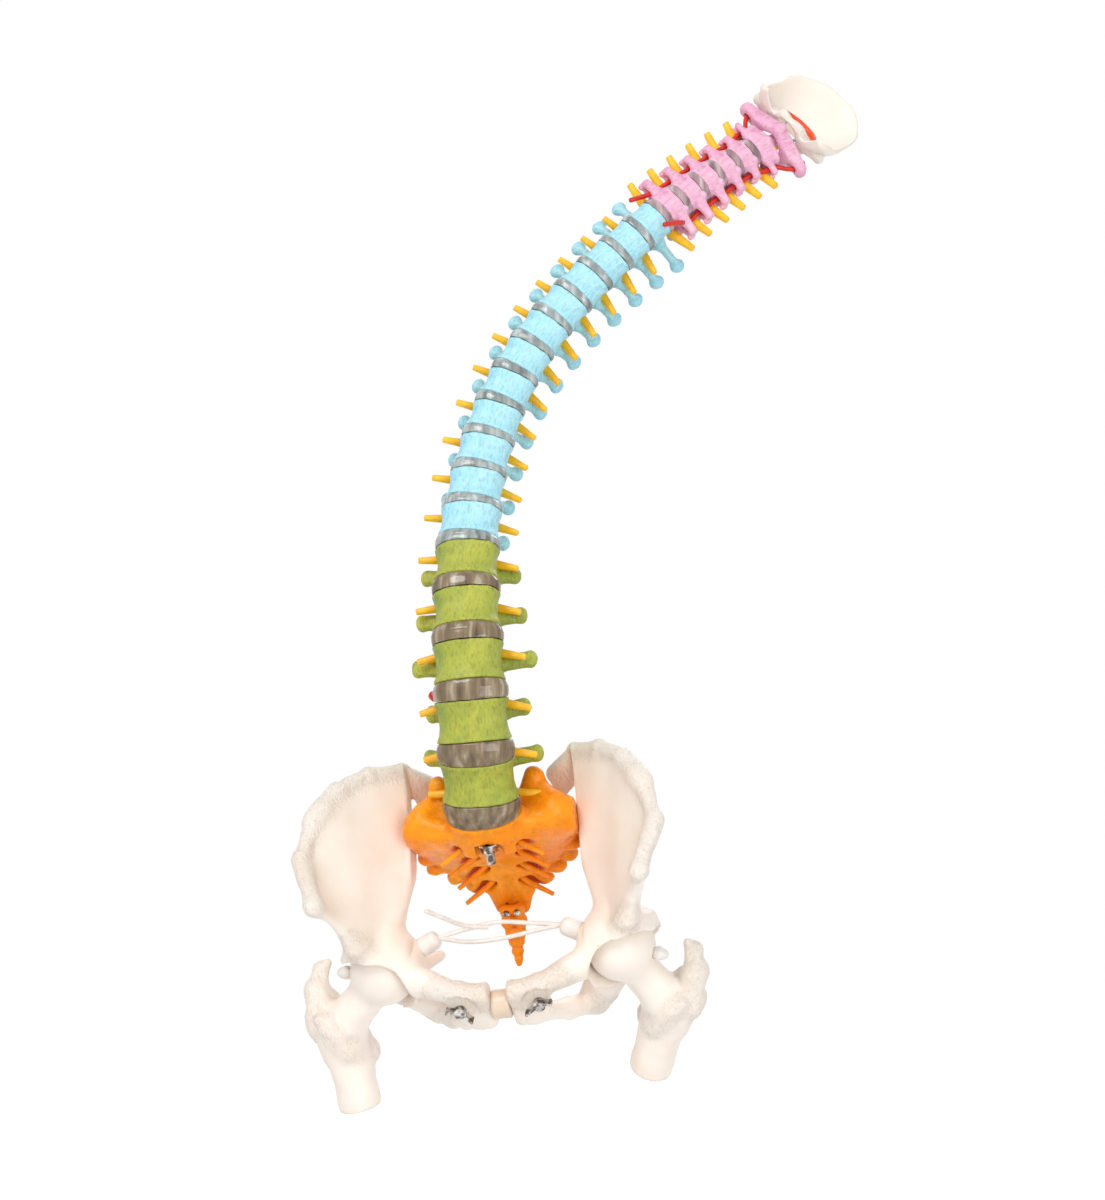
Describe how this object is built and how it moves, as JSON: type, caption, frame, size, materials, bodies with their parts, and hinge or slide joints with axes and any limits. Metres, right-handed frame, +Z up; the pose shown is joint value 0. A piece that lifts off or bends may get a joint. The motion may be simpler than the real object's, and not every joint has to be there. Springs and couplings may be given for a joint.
{
  "type": "spine anatomy model",
  "caption": "Life-size bendable spine with pelvis, femur heads and skull plate, each region in its own colour, discs and nerve roots between the vertebrae.",
  "frame": {"origin": "on the axis of the core's threaded stud at the front face of its nut, in front of the sacrum", "axes": "+Z up along the standing spine, +X to the model's left side, +Y to its back"},
  "size_m": [0.4058, 0.1847, 0.775],
  "materials": {
    "lumbar_paint": "painted, slightly ridged",
    "thoracic_paint": "painted",
    "neck_paint": "painted",
    "sacrum_paint": "glossy paint",
    "bone_plastic": "cast plastic with bone texture",
    "symphysis_plastic": "matt",
    "disc_plastic": "clear, smoky",
    "nerve_plastic": "satin",
    "artery_plastic": "satin",
    "cord_white": "smooth elastic cord and plugs",
    "core_steel": "flexible metal tube",
    "bright_metal": "bright plated"
  },
  "bodies": {
    "pelvis": {"sacrum": "sacrum_paint", "coccyx": "sacrum_paint", "hip_right": "bone_plastic", "hip_left": "bone_plastic", "symphysis": "symphysis_plastic", "fasteners": "bright_metal", "elastic_cord": "cord_white", "spinal_cord": "nerve_plastic", "flexible_core": "core_steel"},
    "l5": {"l5": "lumbar_paint", "disc_l5_s1": "disc_plastic"},
    "l4": {"l4": "lumbar_paint", "disc_l4_l5": "disc_plastic"},
    "l3": {"l3": "lumbar_paint", "disc_l3_l4": "disc_plastic"},
    "l2": {"l2": "lumbar_paint", "disc_l2_l3": "disc_plastic"},
    "l1": {"l1": "lumbar_paint", "disc_l1_l2": "disc_plastic"},
    "t12": {"t12": "thoracic_paint", "disc_t12_l1": "disc_plastic"},
    "t11": {"t11": "thoracic_paint", "disc_t11_t12": "disc_plastic"},
    "t10": {"t10": "thoracic_paint", "disc_t10_t11": "disc_plastic"},
    "t9": {"t9": "thoracic_paint", "disc_t9_t10": "disc_plastic"},
    "t8": {"t8": "thoracic_paint", "disc_t8_t9": "disc_plastic"},
    "t7": {"t7": "thoracic_paint", "disc_t7_t8": "disc_plastic"},
    "t6": {"t6": "thoracic_paint", "disc_t6_t7": "disc_plastic"},
    "t5": {"t5": "thoracic_paint", "disc_t5_t6": "disc_plastic"},
    "t4": {"t4": "thoracic_paint", "disc_t4_t5": "disc_plastic"},
    "t3": {"t3": "thoracic_paint", "disc_t3_t4": "disc_plastic"},
    "t2": {"t2": "thoracic_paint", "disc_t2_t3": "disc_plastic"},
    "t1": {"t1": "thoracic_paint", "disc_t1_t2": "disc_plastic"},
    "c7": {"c7": "neck_paint", "disc_c7_t1": "disc_plastic"},
    "c6": {"c6": "neck_paint", "disc_c6_c7": "disc_plastic", "vertebral_arteries": "artery_plastic"},
    "c5": {"c5": "neck_paint", "disc_c5_c6": "disc_plastic"},
    "c4": {"c4": "neck_paint", "disc_c4_c5": "disc_plastic"},
    "c3": {"c3": "neck_paint", "disc_c3_c4": "disc_plastic"},
    "c2": {"c2": "neck_paint", "disc_c2_c3": "disc_plastic"},
    "c1": {"c1": "neck_paint"},
    "head": {"skull_plate": "bone_plastic"},
    "femur_right": {"femur_right": "bone_plastic"},
    "femur_left": {"femur_left": "bone_plastic"}
  },
  "joints": [
    {"name": "lumbar_bend", "type": "hinge", "parent": "pelvis", "child": "l5", "pos_m": [-0.00485, -0.01081, 0.02973], "axis": [0.1081, 0.8823, 0.458], "range_deg": [-3, 3], "deforming": ["disc_l5_s1", "spinal_cord", "flexible_core"]},
    {"name": "l4_bend", "type": "hinge", "parent": "l5", "child": "l4", "pos_m": [-0.00859, -0.02865, 0.06498], "axis": [0.1092, 0.9803, 0.1645], "range_deg": [-3, 3], "deforming": ["disc_l4_l5"]},
    {"name": "l3_bend", "type": "hinge", "parent": "l4", "child": "l3", "pos_m": [-0.01195, -0.0346, 0.10268], "axis": [0.1106, 0.9907, -0.0787], "range_deg": [-3, 3], "deforming": ["disc_l3_l4"]},
    {"name": "l2_bend", "type": "hinge", "parent": "l3", "child": "l2", "pos_m": [-0.01451, -0.0314, 0.13939], "axis": [0.1012, 0.9666, -0.2354], "range_deg": [-3, 3], "deforming": ["disc_l2_l3"]},
    {"name": "l1_bend", "type": "hinge", "parent": "l2", "child": "l1", "pos_m": [-0.01616, -0.02283, 0.17386], "axis": [0.0716, 0.9432, -0.3244], "range_deg": [-3, 3], "deforming": ["disc_l1_l2"]},
    {"name": "thoracic_bend", "type": "hinge", "parent": "l1", "child": "t12", "pos_m": [-0.01595, -0.01179, 0.20602], "axis": [0.0295, 0.9442, -0.328], "range_deg": [-5, 1], "deforming": ["disc_t12_l1"]},
    {"name": "t11_bend", "type": "hinge", "parent": "t12", "child": "t11", "pos_m": [-0.01366, -0.00182, 0.23491], "axis": [-0.0051, 0.9607, -0.2776], "range_deg": [-5, 1], "deforming": ["disc_t11_t12"]},
    {"name": "t10_bend", "type": "hinge", "parent": "t11", "child": "t10", "pos_m": [-0.00955, 0.00608, 0.26217], "axis": [-0.0301, 0.978, -0.2064], "range_deg": [-5, 1], "deforming": ["disc_t10_t11"]},
    {"name": "t9_bend", "type": "hinge", "parent": "t10", "child": "t9", "pos_m": [-0.00338, 0.01182, 0.28847], "axis": [-0.047, 0.9877, -0.1492], "range_deg": [-5, 1], "deforming": ["disc_t9_t10"]},
    {"name": "t8_bend", "type": "hinge", "parent": "t9", "child": "t8", "pos_m": [0.00456, 0.016, 0.31366], "axis": [-0.0417, 0.9945, -0.0959], "range_deg": [-5, 1], "deforming": ["disc_t8_t9"]},
    {"name": "t7_bend", "type": "hinge", "parent": "t8", "child": "t7", "pos_m": [0.01486, 0.01872, 0.33735], "axis": [-0.0344, 0.9976, -0.0607], "range_deg": [-5, 1], "deforming": ["disc_t7_t8"]},
    {"name": "t6_bend", "type": "hinge", "parent": "t7", "child": "t6", "pos_m": [0.02729, 0.02048, 0.3593], "axis": [-0.04, 0.9976, -0.0571], "range_deg": [-5, 1], "deforming": ["disc_t6_t7"]},
    {"name": "t5_bend", "type": "hinge", "parent": "t6", "child": "t5", "pos_m": [0.04138, 0.0222, 0.37944], "axis": [-0.0329, 0.9986, -0.0407], "range_deg": [-5, 1], "deforming": ["disc_t5_t6"]},
    {"name": "t4_bend", "type": "hinge", "parent": "t5", "child": "t4", "pos_m": [0.05649, 0.02346, 0.3981], "axis": [-0.035, 0.9986, -0.0389], "range_deg": [-5, 1], "deforming": ["disc_t4_t5"]},
    {"name": "t3_bend", "type": "hinge", "parent": "t4", "child": "t3", "pos_m": [0.07218, 0.02469, 0.41552], "axis": [-0.0364, 0.9986, -0.0376], "range_deg": [-5, 1], "deforming": ["disc_t3_t4"]},
    {"name": "t2_bend", "type": "hinge", "parent": "t3", "child": "t2", "pos_m": [0.08809, 0.02589, 0.432], "axis": [-0.0498, 0.9976, -0.0489], "range_deg": [-5, 1], "deforming": ["disc_t2_t3"]},
    {"name": "t1_bend", "type": "hinge", "parent": "t2", "child": "t1", "pos_m": [0.10404, 0.02745, 0.44767], "axis": [-0.0758, 0.9945, -0.072], "range_deg": [-5, 1], "deforming": ["disc_t1_t2"]},
    {"name": "neck_bend", "type": "hinge", "parent": "t1", "child": "c7", "pos_m": [0.12009, 0.02978, 0.4629], "axis": [-0.1153, 0.9877, -0.1057], "range_deg": [-2.5, 1], "deforming": ["disc_c7_t1"]},
    {"name": "c6_bend", "type": "hinge", "parent": "c7", "child": "c6", "pos_m": [0.13429, 0.03283, 0.47591], "axis": [-0.1557, 0.9781, -0.1378], "range_deg": [-2.5, 1], "deforming": ["disc_c6_c7", "vertebral_arteries"]},
    {"name": "c5_bend", "type": "hinge", "parent": "c6", "child": "c5", "pos_m": [0.1483, 0.0368, 0.48831], "axis": [-0.184, 0.9703, -0.1571], "range_deg": [-2.5, 1], "deforming": ["disc_c5_c6"]},
    {"name": "c4_bend", "type": "hinge", "parent": "c5", "child": "c4", "pos_m": [0.16214, 0.04134, 0.50012], "axis": [-0.2011, 0.9659, -0.1629], "range_deg": [-2.5, 1], "deforming": ["disc_c4_c5"]},
    {"name": "c3_bend", "type": "hinge", "parent": "c4", "child": "c3", "pos_m": [0.17593, 0.04609, 0.51129], "axis": [-0.2187, 0.9613, -0.1678], "range_deg": [-2.5, 1], "deforming": ["disc_c3_c4"]},
    {"name": "c2_bend", "type": "hinge", "parent": "c3", "child": "c2", "pos_m": [0.18966, 0.05106, 0.52183], "axis": [-0.223, 0.9613, -0.162], "range_deg": [-2.5, 1], "deforming": ["disc_c2_c3"]},
    {"name": "c1_bend", "type": "hinge", "parent": "c2", "child": "c1", "pos_m": [0.20389, 0.0561, 0.53217], "axis": [-0.2026, 0.9659, -0.1611], "range_deg": [-2, 0.8]},
    {"name": "head_bend", "type": "hinge", "parent": "c1", "child": "head", "pos_m": [0.21493, 0.05988, 0.54095], "axis": [-0.1798, 0.9703, -0.1619], "range_deg": [-1.5, 0.6]},
    {"name": "hip_swing_right", "type": "hinge", "parent": "pelvis", "child": "femur_right", "pos_m": [-0.07058, 0.01688, -0.0778], "axis": [0.9823, -0.1564, 0.1032], "range_deg": [-20, 10], "deforming": ["elastic_cord"]},
    {"name": "hip_swing_left", "type": "hinge", "parent": "pelvis", "child": "femur_left", "pos_m": [0.08659, -0.00815, -0.06128], "axis": [0.9823, -0.1564, 0.1032], "range_deg": [-20, 10]}
  ],
  "couplings": [
    {"joint": "l4_bend", "follows": "lumbar_bend", "ratio": 1},
    {"joint": "l3_bend", "follows": "lumbar_bend", "ratio": 1},
    {"joint": "l2_bend", "follows": "lumbar_bend", "ratio": 1},
    {"joint": "l1_bend", "follows": "lumbar_bend", "ratio": 1},
    {"joint": "t11_bend", "follows": "thoracic_bend", "ratio": 1},
    {"joint": "t10_bend", "follows": "thoracic_bend", "ratio": 1},
    {"joint": "t9_bend", "follows": "thoracic_bend", "ratio": 1},
    {"joint": "t8_bend", "follows": "thoracic_bend", "ratio": 1},
    {"joint": "t7_bend", "follows": "thoracic_bend", "ratio": 1},
    {"joint": "t6_bend", "follows": "thoracic_bend", "ratio": 1},
    {"joint": "t5_bend", "follows": "thoracic_bend", "ratio": 1},
    {"joint": "t4_bend", "follows": "thoracic_bend", "ratio": 1},
    {"joint": "t3_bend", "follows": "thoracic_bend", "ratio": 1},
    {"joint": "t2_bend", "follows": "thoracic_bend", "ratio": 1},
    {"joint": "t1_bend", "follows": "thoracic_bend", "ratio": 1},
    {"joint": "c6_bend", "follows": "neck_bend", "ratio": 1},
    {"joint": "c5_bend", "follows": "neck_bend", "ratio": 1},
    {"joint": "c4_bend", "follows": "neck_bend", "ratio": 1},
    {"joint": "c3_bend", "follows": "neck_bend", "ratio": 1},
    {"joint": "c2_bend", "follows": "neck_bend", "ratio": 1},
    {"joint": "c1_bend", "follows": "neck_bend", "ratio": 0.8},
    {"joint": "head_bend", "follows": "neck_bend", "ratio": 0.6}
  ]
}
